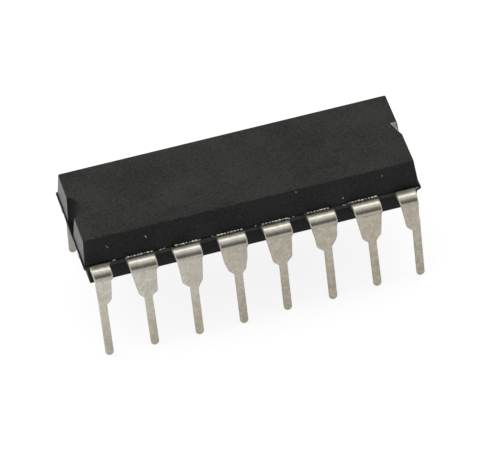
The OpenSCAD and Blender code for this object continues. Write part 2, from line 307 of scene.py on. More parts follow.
# %% Tin: colour
TIN = {"clean": colour(0.65, 0.64, 0.565), "worn": colour(0.50, 0.475, 0.40),
       # The grey of the dots and scuffs also serves as painted shade on the faces toward the body.
       "stained": colour(0.52, 0.465, 0.385), "scuff_and_shade": colour(0.315, 0.305, 0.29),
       # The last colour is the painted dark band on the bend, a painted reflection.
       "brown": colour(0.38, 0.335, 0.26), "painted_dark_band": colour(0.28, 0.26, 0.225)}
ON_BEND = 0.25


def tin_colour(tree, place, at):
    def patches(per_mm, detail, roughness, distortion, low, high, strength=1.0):
        return span(tree, grain(tree, place, per_mm, detail, roughness, distortion),
                    low, high, 0.0, strength)

    unwiped = calc(tree, "MULTIPLY_ADD", at["blade"], 1 - ON_BEND, ON_BEND)
    far_stains = times(tree, span(tree, at["x"], -3.5, 0.5, 0.0, 0.8),
                       patches(3.6, 2.0, 0.6, 0.8, 0.42, 0.58))
    # Brown tarnishing grows toward the leads on the right; the y term adds the same brown on the
    # rear row as painted shade.
    tarnish_and_rear_shade = calc(tree, "ADD", span(tree, at["x"], -5.5, 1.0, 0.0, 0.60),
                            span(tree, at["y"], 1.0, 3.5, 0.0, 0.3))
    tarnish_and_shade = calc(tree, "MULTIPLY_ADD", tarnish_and_rear_shade, at["blade"],
                   span(tree, at["height"], 3.6, 0.2, 0.0, 0.62), clamp=True)
    pale = times(tree, span(tree, at["x"], -4.5, 0.5, 0.18, 0.28),
                 patches(3.7, 3.0, 0.6, 0.6, 0.46, 0.58))
    layers = (
        (times(tree, far_stains, unwiped), "stained"),
        (times(tree, patches(5.0, 3.0, 0.65, 0.4, 0.42, 0.58, 0.55), unwiped), "stained"),
        (times(tree, patches(10.0, 1.0, 0.5, 0.0, 0.60, 0.70, 0.45), at["blade"]), "scuff_and_shade"),
        (times(tree, patches(4.2, 4.0, 0.7, 0.6, 0.56, 0.68, 0.5), unwiped), "scuff_and_shade"),
        (tarnish_and_shade, "brown"), (times(tree, pale, at["blade"]), "clean"),
        # Painted shade: the faces toward the body take the scuffs' grey.
        (times(tree, at["toward the body"], 0.7), "scuff_and_shade"), (painted_dark_band_mask(tree, at), "painted_dark_band"))
    tin = blend_colour(tree, span(tree, at["mottle"], 0.36, 0.64), TIN["worn"], TIN["clean"])
    for factor, name in layers:
        tin = blend_colour(tree, factor, tin, TIN[name])
    return tin


def painted_dark_band_mask(tree, at):
    """The painted dark band low on the bend, a painted reflection of the dark horizon in front.
    Its upper edge is frayed by the streaks.
    """
    frayed = calc(tree, "MULTIPLY_ADD", at["streaks"], 0.08, at["height"])
    zone = times(tree, span(tree, at["height"], DARK_BAND_LOW, DARK_BAND_LOW + 0.20),
                 span(tree, frayed, DARK_BAND_TOP - DARK_BAND_FADE, DARK_BAND_TOP + 0.06, 1.0, 0.0))
    return times(tree, times(tree, zone, at["broad face"]),
                 span(tree, at["streaks"], 0.25, 0.75, 0.9, 0.55))


print("tin colours:", len(TIN))

# %% [markdown]
# ## Tin: gloss
# The tool burnished the bend, so it is smooth, with fine streaks that run down, and it rolls
# the light into one bright line. The flat part above it is hazier, most near the bend and on
# the two end leads. The blade stays matt and grainy.

# %% Tin: gloss and grain
END_LEAD_X, FLAT_Y = (7.9, 8.1), (3.24, 3.42)


def tin_finish():
    material, tree, place = finish_tree("matt_tin", TIN["clean"])
    at = tin_places(tree, place)
    end_lead = span(tree, calc(tree, "ABSOLUTE", at["x"]), *END_LEAD_X, 0.0, 0.27)
    near_bend = span(tree, calc(tree, "ABSOLUTE", at["y"]), *FLAT_Y, 0.05, 0.32)
    haze = times(tree, span(tree, at["height"], FLAT_FROM, FLAT_FULL),
                 calc(tree, "MAXIMUM", near_bend, end_lead))
    matt = span(tree, at["speckle"], 0.3, 0.7, 0.46, 0.58)
    polished = calc(tree, "ADD", span(tree, at["streaks"], 0.3, 0.7, 0.20, 0.25), haze)
    streaky = calc(tree, "MULTIPLY_ADD", at["streaks"], 0.12, 0.44)
    on_bend = times(tree, span(tree, at["height"], BEND_FOOT - 0.04, BEND_FOOT + 0.02),
                    at["broad face"])
    gloss, grainy = (add(tree, "ShaderNodeMix", {0: on_bend, 2: blade, 3: bend})[0]
                     for blade, bend in ((matt, polished), (at["mottle"], streaky)))
    return dressed(material, tin_colour(tree, place, at), gloss, grainy, 0.35, 0.010, 1.0)


lead_finish = tin_finish()
print("tin finish nodes:", len(lead_finish.node_tree.nodes))

# %% [markdown]
# ## Finish: what the moulding closes round
# The pad, the bonding layer, the die and its wires can't be seen from outside, but the model
# holds them, so each gets a finish: rolled plate with its grain along the strip, grey
# silver-filled paste, dark polished silicon and drawn gold.

# %% Inner finishes
def simple_metal(name, dark, light, stretch, low, high):
    material, tree, place = finish_tree(name, light)
    lines = grain(tree, vector_math(tree, "MULTIPLY", place, stretch), 1.0, 4.0, 0.6)
    return dressed(material, blend_colour(tree, span(tree, lines, 0.3, 0.7), dark, light),
                   span(tree, lines, 0.3, 0.7, low, high), lines, 0.25, 0.004, 1.0)


def paste_finish():
    material, tree, place = finish_tree("silver_paste", colour(0.35, 0.35, 0.36))
    cells = add(tree, "ShaderNodeTexVoronoi", {"Vector": place, "Scale": 16.0})
    shade = add(tree, "ShaderNodeSeparateColor", {0: cells["Color"]})[0]
    tint = blend_colour(tree, shade, colour(0.24, 0.24, 0.25), colour(0.48, 0.48, 0.49))
    return dressed(material, tint, span(tree, shade, 0.0, 1.0, 0.38, 0.62), cells["Distance"],
                   0.4, 0.008, 0.4)


def silicon_finish():
    material, tree, place = finish_tree("die_silicon", colour(0.06, 0.07, 0.10))
    cells = add(tree, "ShaderNodeTexBrick", {
        "Vector": place, "Color1": colour(0.05, 0.075, 0.13), "Color2": colour(0.10, 0.09, 0.13),
        "Mortar": colour(0.22, 0.20, 0.16), "Scale": 7.0, "Mortar Size": 0.02})
    haze = grain(tree, place, 3.0, 2.0)
    tint = blend_colour(tree, span(tree, haze, 0.3, 0.8, 0.0, 0.5), cells[0],
                        colour(0.12, 0.13, 0.16))
    return dressed(material, tint, span(tree, haze, 0.3, 0.7, 0.10, 0.20), cells["Fac"],
                   0.3, 0.003, 0.6)


plate_finish = simple_metal("rolled_plate", colour(0.40, 0.385, 0.35), colour(0.60, 0.58, 0.53),
                            (1.2, 24.0, 24.0), 0.28, 0.45)
wire_finish = simple_metal("drawn_gold", colour(0.72, 0.46, 0.14), colour(0.95, 0.68, 0.27),
                           (30.0, 30.0, 30.0), 0.12, 0.24)
inner_finish = {"die_pad": plate_finish, "die_attach": paste_finish(), "die": silicon_finish()}
inner_finish.update({f"bond_wire_{n}": wire_finish for n in range(1, 17)})
for node, finish in inner_finish.items():
    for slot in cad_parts[node].material_slots:
        slot.material = finish
print("inner nodes finished:", len(inner_finish))

# %% [markdown]
# ## Shape of the moulding
# The body's edges, its two drafts, the notch and the broken-out gate pocket meet in ways that
# a bevelled box would spoil. So it is lofted: one outline, seen from above, is drawn at many
# heights with the same number of points, and neighbouring outlines are joined by faces. First
# come its corners and the pieces of its ends. Where the notch or the pocket is missing, its
# points lie on the end.

# %% Corners, pocket and notch of an outline
CORNER_R, LEDGE_CORNER_R, SMALLEST_R, CORNER_STEPS = 0.08, 0.02, 0.02, 6
SIDE_STEPS, END_STEPS, ARC_STEPS, WALL_STEPS = 150, 20, 28, 9
TOP_END = HALF_L - (TOP_Z - FRAME_TOP) * tan(radians(DRAFT["up"][0]))
CLOSED_POCKET = 0.25


def between(a, b, steps):
    """Points from a to b, without either."""
    a, b = Vector(a), Vector(b)
    return [a.lerp(b, k / steps) for k in range(1, steps)]


def corner_arc(cx, cy, r, start):
    angles = [radians(start + 90 * k / CORNER_STEPS) for k in range(CORNER_STEPS + 1)]
    return [Vector((cx + r * cos(a), cy + r * sin(a))) for a in angles]


def pocket_points(half_l, inset, is_open):
    """Near exit, deepest corner and far exit of the pocket in the end at +X."""
    along_x, along_y = GATE_DEPTH, -GATE_W
    length = hypot(along_x, along_y)
    deep_y = GATE_FAR_Y + inset
    slope_x = TOP_END - GATE_DEPTH + inset * along_y / length
    slope_y = GATE_FAR_Y - inset * along_x / length
    deep_x = slope_x + (deep_y - slope_y) * along_x / along_y
    near_y = slope_y + (half_l - slope_x) * along_y / along_x
    deep = Vector((deep_x, deep_y)) if is_open else Vector((half_l, deep_y - CLOSED_POCKET))
    return Vector((half_l, near_y)), deep, Vector((half_l, deep_y))


def notch_points(half_l, r, is_open):
    """Arc of the notch in the end at -X, from the rear to the front."""
    reach = acos((-half_l - NOTCH_X) / r)
    angles = [reach * (1 - 2 * k / ARC_STEPS) for k in range(ARC_STEPS + 1)]
    return [Vector((NOTCH_X + r * cos(a) if is_open else -half_l, r * sin(a)))
            for a in angles]


print("top end face at x", round(TOP_END, 3), "mm")

# %% [markdown]
# ## The whole outline
# The pieces are strung together in one order, starting at the front left corner. Point 200 of
# an outline so lies next to point 200 of its neighbour, and the places of the pocket and the
# notch can be counted out.

# %% Outline of the moulding at one height
def outline(half_l, half_w, inset=0.0, notch_r=NOTCH_R_FLOOR, notch=False, pocket=False,
            corner_r=CORNER_R):
    half_l, half_w = half_l - inset, half_w - inset
    r = max(corner_r - inset, SMALLEST_R)
    x, y = half_l - r, half_w - r
    near, deep, far = pocket_points(half_l, inset, pocket)
    arc = notch_points(half_l, notch_r + inset, notch)
    ring = between((-x, -half_w), (x, -half_w), SIDE_STEPS) + corner_arc(x, -y, r, -90)
    ring += between((half_l, -y), near, END_STEPS) + [near] + between(near, deep, WALL_STEPS)
    ring += [deep] + between(deep, far, WALL_STEPS) + [far] + between(far, (half_l, y), END_STEPS)
    ring += corner_arc(x, y, r, 0) + between((x, half_w), (-x, half_w), SIDE_STEPS)
    ring += corner_arc(-x, y, r, 90) + between((-half_l, y), arc[0], END_STEPS) + arc
    return ring + between(arc[-1], (-half_l, -y), END_STEPS) + corner_arc(-x, -y, r, 180)


RING = len(outline(HALF_L, HALF_W))
NEAR_AT = SIDE_STEPS - 1 + CORNER_STEPS + 1 + END_STEPS - 1
WALL_AT = range(NEAR_AT, NEAR_AT + 2 * WALL_STEPS)
NOTCH_FROM = RING - (CORNER_STEPS + 1) - (END_STEPS - 1) - (ARC_STEPS + 1)
NOTCH_AT = range(NOTCH_FROM, NOTCH_FROM + ARC_STEPS + 1)
print("points in an outline:", RING)

# %% [markdown]
# ## The rings: underside and ledge
# From the underside up come a rounded edge, the lower draft and the ledge. The tool cut resin
# flash away at its rim, so two noises roughen it: a fine wave, and rarer deeper chips.

# %% Stack the outlines up to the ledge
EDGE_R, EDGE_STEPS = 0.05, 4
LEDGE_T = FRAME_TOP - FRAME_Z
LEDGE_RINGS = (0.0, 0.06, LEDGE_EDGE - 0.01, 0.16, 0.21, 0.25)
RIM_BACK, RIM_BEVEL, RIM_WAVE, RIM_CHIP, RIM_DEEPEST = 0.006, 0.012, 0.022, 0.03, 0.05
RIM_INSIDE = 0.005


def half_sizes(z):
    upper = z >= FRAME_TOP
    drop = z - FRAME_TOP if upper else FRAME_Z - z
    foot = (HALF_L if upper else HALF_L_LOW, HALF_W)
    drafts = DRAFT["up" if upper else "low"]
    return [h - drop * tan(radians(d)) for h, d in zip(foot, drafts)]


def quarter_round(r, steps):
    """Depth and inset of the points round an edge, from the face to the side."""
    turns = [radians(90 * k / steps) for k in range(steps + 1)]
    return [(r * (1 - cos(a)), r * (1 - sin(a))) for a in turns]


rings, ring_finish = [], []


def stack(points, z, finish):
    """finish is the slot of the faces between this ring and the one under it."""
    rings.append([Vector((p.x, p.y, z)) for p in points])
    ring_finish.append(finish)


# The lower half takes the darker copy of the side finish, as painted shade under the ledge.
for depth, inset in quarter_round(EDGE_R, EDGE_STEPS):
    stack(outline(*half_sizes(UNDERSIDE_Z + depth), inset), UNDERSIDE_Z + depth, UNDER_SHADE)
stack(outline(HALF_L_LOW, HALF_W), FRAME_Z, UNDER_SHADE)

for k, rise in enumerate(LEDGE_RINGS):
    rough = []
    under = max(1 - rise / (LEDGE_T - LEDGE_EDGE), 0.0) * (LEDGE_L - HALF_L_LOW)
    for p in outline(LEDGE_L - RIM_INSIDE - under, LEDGE_W - RIM_INSIDE,
                     corner_r=LEDGE_CORNER_R):
        wave = noise.noise(Vector((p.x * 4.0, p.y * 4.0, rise * 9.0)))
        chip = noise.noise(Vector((p.x * 1.1 + 7.0, p.y * 1.1, rise * 3.0)))
        bevel = RIM_BEVEL if k in (0, len(LEDGE_RINGS) - 1) else 0.0
        back = min(max(RIM_BACK - RIM_WAVE * wave - RIM_CHIP * chip, 0.0), RIM_DEEPEST) + bevel
        rough.append(Vector((p.x * (1 - back / LEDGE_L), p.y * (1 - back / LEDGE_W))))
    stack(rough, FRAME_Z + rise, FLASH)
print("outlines up to the ledge:", len(rings))

# %% [markdown]
# ## The rings: upper half
# Above the ledge the outline gets the notch, a cone that widens upward, and from its own
# floor on the pocket. The gate was snapped off there, so the pocket's walls are rough, and
# less so toward the top. The last rings round the top edge.

# %% Stack the outlines from the ledge to the top
WALL_RINGS, WALL_GRAIN, WALL_ROUGH, WALL_FADE = 12, 9.0, 0.05, 0.7


def upper_outline(z, inset=0.0, pocket=True):
    share = (z - FRAME_TOP) / (TOP_Z - FRAME_TOP)
    notch_r = NOTCH_R_FLOOR + (NOTCH_R_TOP - NOTCH_R_FLOOR) * share
    return outline(*half_sizes(z), inset, notch_r, notch=True, pocket=pocket)


pocket_z = FRAME_TOP + GATE_FLOOR
stack(outline(HALF_L, HALF_W, notch=True), FRAME_TOP, SIDE)
for is_open in (False, True):
    stack(upper_outline(pocket_z, pocket=is_open), pocket_z, SIDE)
for k in range(1, WALL_RINGS + 1):
    z = pocket_z + (TOP_Z - EDGE_R - pocket_z) * k / WALL_RINGS
    points = upper_outline(z)
    fade = 1 - WALL_FADE * k / WALL_RINGS
    for j in WALL_AT[1:-1]:
        p = points[j]
        rough = noise.noise_vector(Vector((p.x, p.y, z)) * WALL_GRAIN)
        points[j] = p + Vector((min(rough.x, 0.0), rough.y)) * WALL_ROUGH * fade
    stack(points, z, SIDE)
for depth, inset in quarter_round(EDGE_R, EDGE_STEPS)[-2::-1]:
    stack(upper_outline(TOP_Z - depth, inset), TOP_Z - depth, TOP)
print("outlines:", len(rings), "from z", rings[0][0].z, "to", rings[-1][0].z)

# %% [markdown]
# ## The walls and the top
# Each point is joined to the next one and to the two above them. The height and the place
# along the outline give a face its finish. The top is one flat face.

# %% Build the walls and the top
END_FROM = 9.2


def new_piece(name, mesh_builder, finishes):
    mesh = bpy.data.meshes.new(name)
    mesh_builder.to_mesh(mesh)
    mesh_builder.free()
    for finish in finishes:
        mesh.materials.append(finish)
    return placed_in_scene(name, mesh)


def bridged(build, low, high):
    """Faces between two rings of points."""
    corners = zip(low, low[1:] + low[:1], high[1:] + high[:1], high)
    return [build.faces.new(four) for four in corners]


def wall_finish(level, j, k, face):
    """The slot of the face over points j and k, between this ring and the one under it."""
    if j in WALL_AT and k in WALL_AT and rings[level][j].z > pocket_z:
        return BROKEN
    if ring_finish[level] != SIDE:
        return ring_finish[level]
    # The notch takes its darker copy, as painted shade in the recess.
    if j in NOTCH_AT and k in NOTCH_AT:
        return NOTCH_SHADE
    # The end faces take the lighter copy, as a painted highlight.
    on_end = abs(face.normal.x) > 0.9 and abs(rings[level - 1][j].x) > END_FROM
    return END_HIGHLIGHT if on_end else SIDE


shell = bmesh.new()
levels = [[shell.verts.new(p * MM) for p in ring] for ring in rings]
for level in range(1, len(levels)):
    for j, face in enumerate(bridged(shell, levels[level - 1], levels[level])):
        face.normal_update()
        face.material_index = wall_finish(level, j, (j + 1) % RING, face)
        face.smooth = True
top_face = shell.faces.new(levels[-1])
top_face.material_index = TOP
print("faces so far:", len(shell.faces))

# %% [markdown]
# ## Closing the shell
# The underside has two shallow round marks, left by the pins that push the part out of the
# mould. Its face is filled round the two circles, and each gets a short wall and a floor.
# Then doubled points are merged, and the open edges are counted: none may be left.

# %% Close the underside
CIRCLE_STEPS, MARK_RIM = 64, 0.012
marks = [[Vector((x + EJECTOR_D / 2 * cos(a), EJECTOR_D / 2 * sin(a), UNDERSIDE_Z))
          for a in np.linspace(0, -2 * pi, CIRCLE_STEPS, endpoint=False)]
         for x in (-EJECTOR_SPAN / 2, EJECTOR_SPAN / 2)]
mark_verts = [[shell.verts.new(p * MM) for p in mark] for mark in marks]
under_verts = levels[0] + mark_verts[0] + mark_verts[1]
for triangle in tessellate_polygon([rings[0]] + marks):
    corners = [under_verts[k] for k in triangle]
    face = shell.faces.new(corners)
    face.normal_update()
    if face.normal.z > 0:
        face.normal_flip()
    face.material_index = TOP
for mark in mark_verts:
    rim = [shell.verts.new(v.co + Vector((0, 0, MARK_RIM * MM))) for v in mark]
    floor_ring = [shell.verts.new(v.co + Vector((0, 0, EJECTOR_DEPTH * MM))) for v in mark]
    for face in bridged(shell, mark, rim) + bridged(shell, rim, floor_ring):
        face.material_index = SIDE
    shell.faces.new(floor_ring).material_index = TOP
bmesh.ops.remove_doubles(shell, verts=shell.verts, dist=1e-8)
bmesh.ops.dissolve_degenerate(shell, dist=1e-9, edges=shell.edges)
bmesh.ops.recalc_face_normals(shell, faces=shell.faces)
open_edges = sum(len(e.link_faces) != 2 for e in shell.edges)
moulded_body = new_piece("moulded_body", shell, body_finishes)
moulded_body.data.set_sharp_from_angle(angle=radians(38))
print("moulding faces:", len(moulded_body.data.polygons), "open edges:", open_edges)

# %% [markdown]
# ## Leads: the flat blank
# A lead starts as a flat shape, stamped from sheet 0.25 mm thick. Its outline is a ladder of
# rungs, pairs of points across it, from the finger inside the moulding, over the wide band
# at the bend and the tapered shoulder, to the round tip. Tables hold what differs from lead
# to lead.

# %% Tables of the leads
FINGER_TIP = ((0.75, 1.57), (1.80, 1.65), (2.37, 1.22), (2.37, 0.64))
KNEE_BACK, KNEE_SHARE = (0.27, 1.21, 1.75, 1.89), (0.49, 0.42, 0.34, 0.34)
FINGER_WIDTHS, TURN_IN, BAND_BITE = (0.90, 0.58, 0.42, 0.30), 0.6, 0.3
BAND_LEFT, BAND_RIGHT, FIRST_OUTER, LAST_OUTER = 0.84, 0.77, 0.34, 0.29
SHANK_HALF, BAND_DROP, BAND_STEP, SHOULDER_MID = 0.23, 0.32, 0.08, 1.15
LEAN = (3.6, 4.2, 4.8, 4.7, 2.6, 2.9, 0.9, 0.6, 2.4, 2.8, 3.0, 3.4, 3.9, 4.2, 4.8, 4.8)
SWAY = ((0.01, 0.02), (0.02, 0.04), (0.05, 0.04), (0.04, 0.03), (0.04, 0.04), (0.08, 0.08),
        (0.06, 0.13), (0.06, 0.08), (0.03, 0.02), (0.02, 0.04), (0.04, 0.06), (0.03, 0.03),
        (0.05, 0.04), (0.02, 0.03), (0.04, 0.02), (-0.10, -0.06))
LAST_TIP_LIFT = 0.15
LEFT_SIDE = ((0.26, 0.24, 0.23, 1.64, 2.04), (0.73, 0.61, 0.48, 1.89, 2.18),
             (0.69, 0.61, 0.57, 1.84, 2.22), (0.76, 0.67, 0.49, 1.77, 2.09),
             (0.74, 0.63, 0.50, 1.98, 2.29), (0.72, 0.58, 0.53, 1.69, 2.07),
             (0.72, 0.61, 0.48, 1.96, 2.30), (0.70, 0.60, 0.50, 1.86, 2.25))
RIGHT_SIDE = ((0.65, 0.60, 0.53, 1.77, 2.02), (0.67, 0.62, 0.58, 1.91, 2.13),
              (0.71, 0.64, 0.59, 1.82, 2.40), (0.70, 0.64, 0.49, 1.87, 2.13),
              (0.68, 0.64, 0.59, 1.86, 2.19), (0.71, 0.66, 0.53, 1.50, 1.83),
              (0.71, 0.65, 0.59, 1.83, 2.24), (0.28, 0.26, 0.30, 1.72, 1.90))
BEND_STEPS, TIP_STEPS, RUNG_GAP, SHORTEST_RUNG = 24, 8, 0.3, 0.012
print("leads:", len(LEAN), "shoulder shapes:", len(LEFT_SIDE))

# %% [markdown]
# ## Leads: the finger
# Inside the moulding each lead goes on as a finger that turns toward the die. Its middle line
# has four points, with a rung on each, square to the line or, at a turn, along the mitre.

# %% Finger of a blank
def lead_x(i):
    return (i - 3.5) * PITCH


def finger_rungs(i):
    """Pairs across the finger, tip first, in the flat plane: x, and distance past the bend."""
    k = 3 - i if i < 4 else i - 4
    side = -1 if i < 4 else 1
    x, turn_y = abs(lead_x(i)), LEDGE_W - TURN_IN
    tip = FINGER_TIP[k]
    knee_y = tip[1] + KNEE_SHARE[k] * (turn_y - tip[1])
    path = [(x, LEDGE_W - BAND_BITE), (x, turn_y), (x - KNEE_BACK[k], knee_y), tip]
    path = [Vector((side * px, py - BEND_Y)) for px, py in path]
    rungs = []
    for j, p in enumerate(path):
        a = (path[max(j, 1)] - path[max(j, 1) - 1]).normalized()
        b = (path[min(j, 2) + 1] - path[min(j, 2)]).normalized()
        across_a, across_b = Vector((-a.y, a.x)), Vector((-b.y, b.x))
        mitre = (across_a + across_b).normalized()
        mitre *= FINGER_WIDTHS[j] / 2 / mitre.dot(across_a)
        pair = (p + mitre, p - mitre)
        rungs.append(pair if (pair[0] - pair[1]).cross(a) > 0 else (pair[1], pair[0]))
    return rungs[::-1]


print("rungs on a finger:", len(finger_rungs(0)))

# %% [markdown]
# ## Leads: the two sides of the blade
# The reach to each side is a broken line against the distance below the bend. Its corners
# are eased a little, as a worn die does. On the left side the band is worn: it narrows evenly
# over the bend. On the right it keeps its width and steps in just below the bend.

# %% Sides of a blade
EASE, EASE_AT = 0.10, (0.0, 0.25, 0.5, 0.75, 1.0)


def eased(points, ease):
    """Replaces each inner corner of a broken line by a short curve."""
    line = [Vector(points[0])]
    for a, p, b in zip(points, points[1:], points[2:]):
        a, p, b = Vector(a), Vector(p), Vector(b)
        cut = min(ease, (a - p).length * 0.45, (b - p).length * 0.45)
        start, end = p + (a - p).normalized() * cut, p + (b - p).normalized() * cut
        line += [start.lerp(p, t).lerp(p.lerp(end, t), t) for t in EASE_AT]
    return line + [Vector(points[-1])]


def along(drop, lean):
    """Distance down the blade of a height below the frame, on the blade's outer face."""
    return (BEND_REACH * sin(lean) + drop - BEND_R) / cos(lean)


def blade_side(band, row, lean, tip_at, at_start, at_tip, worn_over=None):
    """Reach to one side. Where worn_over is the bend's length, the band narrows over it."""
    half_start, half_mid, half_end, end_drop, shank_drop = row
    start_at = along(BAND_DROP + BAND_STEP, lean)
    if worn_over is None:
        points = [(0.0, band), (along(BAND_DROP, lean), band)]
    else:
        points = [(0.0, band + (half_start - band) * worn_over / (worn_over + start_at))]
    points += [(start_at, half_start), (along(SHOULDER_MID, lean), half_mid),
               (along(end_drop, lean), half_end), (along(shank_drop, lean), SHANK_HALF + at_start),
               (tip_at, SHANK_HALF + at_tip)]
    return eased(points, EASE)


def bands(i):
    return (FIRST_OUTER if i == 0 else BAND_LEFT, LAST_OUTER if i == 7 else BAND_RIGHT)


print("blade shapes:", len(LEFT_SIDE), "left,", len(RIGHT_SIDE), "right")

# %% [markdown]
# ## Leads: the whole blank
# Both sides are read at the same distances, so each rung has two ends. The rungs lie close
# together over the bend, where the sheet has to turn, and at each corner of the sides. The
# blank is as long as the bent lead, measured along the middle of the sheet.

# %% Outline of a blank
EXIT_STEP = 0.02


def blank_rungs(n, lean):
    i = (n - 1) % 8
    x = lead_x(i)
    at_start, at_tip = SWAY[n - 1]
    bend_length = (pi / 2 - lean) * (BEND_R + LEAD_T / 2)
    lift = LAST_TIP_LIFT if n == 16 else 0.0
    tip_at = (BEND_Z - lift + BEND_R * sin(lean)) / cos(lean) - SHANK_HALF
    sides = [blade_side(bands(i)[0], LEFT_SIDE[i], lean, tip_at, -at_start, -at_tip, bend_length),
             blade_side(bands(i)[1], RIGHT_SIDE[i], lean, tip_at, at_start, at_tip)]
    rungs = finger_rungs(i)

    def add_rung(v, left, right_side):
        rungs.append((Vector((x - left, v)), Vector((x + right_side, v))))

    exit_at = LEDGE_W - BEND_Y
    flat = [exit_at - BAND_BITE, exit_at - EXIT_STEP, exit_at / 2]
    for v in flat + [bend_length * k / BEND_STEPS for k in range(BEND_STEPS)]:
        add_rung(v, *(np.interp(v, (0.0, bend_length), (wide, side[0].y))
                      for wide, side in zip(bands(i), sides)))
    stops = []
    for v in sorted(p.x for side in sides for p in side):
        if not stops or v - stops[-1] > SHORTEST_RUNG:
            stops.append(v)
    filled = []
    for a, b in zip(stops, stops[1:]):
        steps = max(1, ceil((b - a) / RUNG_GAP))
        filled += [a + (b - a) * k / steps for k in range(steps)]
    for v in filled + [stops[-1]]:
        add_rung(bend_length + v, *(np.interp(v, [p.x for p in side], [p.y for p in side])
                                    for side in sides))
    for k in range(1, TIP_STEPS + 1):
        a = radians(90 * k / TIP_STEPS)
        half = SHANK_HALF * cos(a)
        add_rung(bend_length + tip_at + SHANK_HALF * sin(a), half - at_tip, half + at_tip)
    return rungs, bend_length


test_rungs, test_length = blank_rungs(2, radians(LEAN[1]))
print("rungs:", len(test_rungs), "bend length", round(test_length, 3), "mm")

# %% [markdown]
# ## Leads: thickness and rim
# The outline is stacked through the sheet's thickness, pulled in at both faces along a small
# quarter round. One more ring just inside the rim keeps the shading of the flat faces flat.

# %% Blank as a solid
RIM_R, RIM_STEPS, RIM_RING = 0.085, 4, 0.02
TINY, MITRE_LIMIT = 1e-6, 0.5


def pulled_in(loop, inset):
    """Moves each point inward, square to the outline."""
    moved = []
    for j, p in enumerate(loop):
        a, b = p - loop[j - 1], loop[(j + 1) % len(loop)] - p
        a, b = (b if a.length < TINY else a), (a if b.length < TINY else b)
        across_a, across_b = (Vector((-edge.y, edge.x)).normalized() for edge in (a, b))
        normal = across_a + across_b
        if normal.length < TINY:
            moved.append(p.copy())
            continue
        normal.normalize()
        moved.append(p + normal * inset / max(normal.dot(across_a), MITRE_LIMIT))
    return moved


def blank_mesh(n, lean):
    rungs, bend_length = blank_rungs(n, lean)
    loop = [pair[0] for pair in rungs] + [pair[1] for pair in rungs[::-1]]
    area = sum(a.cross(b) for a, b in zip(loop, loop[1:] + loop[:1]))
    sign = 1 if area > 0 else -1
    profile = [(0.0, RIM_R + RIM_RING)] + quarter_round(RIM_R, RIM_STEPS)
    profile += [(LEAD_T - t, inset) for t, inset in profile[::-1]]
    build = bmesh.new()
    levels = [[build.verts.new(Vector((p.x, p.y, t)) * MM) for p in pulled_in(loop, sign * inset)]
              for t, inset in profile]
    count = len(loop)
    for low, high in zip(levels, levels[1:]):
        bridged(build, low, high)
    for cap in (levels[0], levels[-1]):
        for j in range(len(rungs) - 1):
            build.faces.new((cap[j], cap[j + 1], cap[count - 2 - j], cap[count - 1 - j]))
    bmesh.ops.remove_doubles(build, verts=build.verts, dist=2e-7)
    bmesh.ops.recalc_face_normals(build, faces=build.faces)
    for face in build.faces:
        face.smooth = True
    return build, bend_length


print("rim radius", RIM_R, "mm")

# %% [markdown]
# ## Leads: bending with Geometry Nodes
# One node tree bends all sixteen: what lies before the bend stays flat, what lies in it turns
# round the bend's axis by its share of the angle, and what lies past it carries on straight.
# The same tree turns a rear lead half round.

# %% Bending tree
def tree_with_inputs(name, inputs):
    tree = bpy.data.node_groups.new(name, "GeometryNodeTree")
    tree.interface.new_socket("Geometry", in_out="INPUT", socket_type="NodeSocketGeometry")
    for title, value in inputs.items():
        kind = {float: "Float", int: "Int", type(None): "Material"}[type(value)]
        socket = tree.interface.new_socket(title, in_out="INPUT", socket_type="NodeSocket" + kind)
        if value is not None:
            socket.default_value = value
    tree.interface.new_socket("Geometry", in_out="OUTPUT", socket_type="NodeSocketGeometry")
    return tree, tree.nodes.new("NodeGroupInput").outputs, tree.nodes.new("NodeGroupOutput")


def end_tree(tree, geometry, material_socket, output):
    real = add(tree, "GeometryNodeRealizeInstances", {0: geometry})
    painted = add(tree, "GeometryNodeSetMaterial", {"Geometry": real[0],
                                                    "Material": material_socket})
    tree.links.new(painted[0], output.inputs[0])


bend_tree, bend_in, bend_out = tree_with_inputs("bend_lead", {
    "Axis Out": BEND_Y * MM, "Axis Height": BEND_Z * MM, "Inner Radius": BEND_R * MM,
    "Bend Length": 0.5 * MM, "Bend Angle": 1.5, "Row Turn": 0.0, "Finish": None})
flat_place = add(bend_tree, "ShaderNodeSeparateXYZ",
                 {0: add(bend_tree, "GeometryNodeInputPosition")[0]})
share = calc(bend_tree, "DIVIDE", flat_place[1], bend_in["Bend Length"], clamp=True)
turned_by = times(bend_tree, share, bend_in["Bend Angle"])
past = calc(bend_tree, "MAXIMUM",
            calc(bend_tree, "SUBTRACT", flat_place[1], bend_in["Bend Length"]), 0.0)
before = calc(bend_tree, "MINIMUM", flat_place[1], 0.0)
arm = add(bend_tree, "ShaderNodeCombineXYZ", {
    0: flat_place[0], 1: times(bend_tree, past, -1.0),
    2: calc(bend_tree, "ADD", flat_place[2], bend_in["Inner Radius"])})[0]
swung = add(bend_tree, "ShaderNodeVectorRotate", {"Vector": arm, "Angle": turned_by},
            rotation_type="X_AXIS")[0]
axis_place = add(bend_tree, "ShaderNodeCombineXYZ", {
    1: times(bend_tree, calc(bend_tree, "ADD", bend_in["Axis Out"], before), -1.0),
    2: bend_in["Axis Height"]})[0]
in_row = add(bend_tree, "ShaderNodeVectorRotate", {
    "Vector": vector_math(bend_tree, "ADD", swung, axis_place), "Angle": bend_in["Row Turn"]},
    rotation_type="Z_AXIS")[0]
bent = add(bend_tree, "GeometryNodeSetPosition",
           {"Geometry": bend_in["Geometry"], "Position": in_row})
end_tree(bend_tree, bent[0], bend_in["Finish"], bend_out)
print("bending tree nodes:", len(bend_tree.nodes))

# %% [markdown]
# ## Leads: running the tree
# A modifier runs the tree with the inputs of one lead, and its result is kept as a plain
# mesh. Each lead has its own angle, since handling leaves the rows uneven.

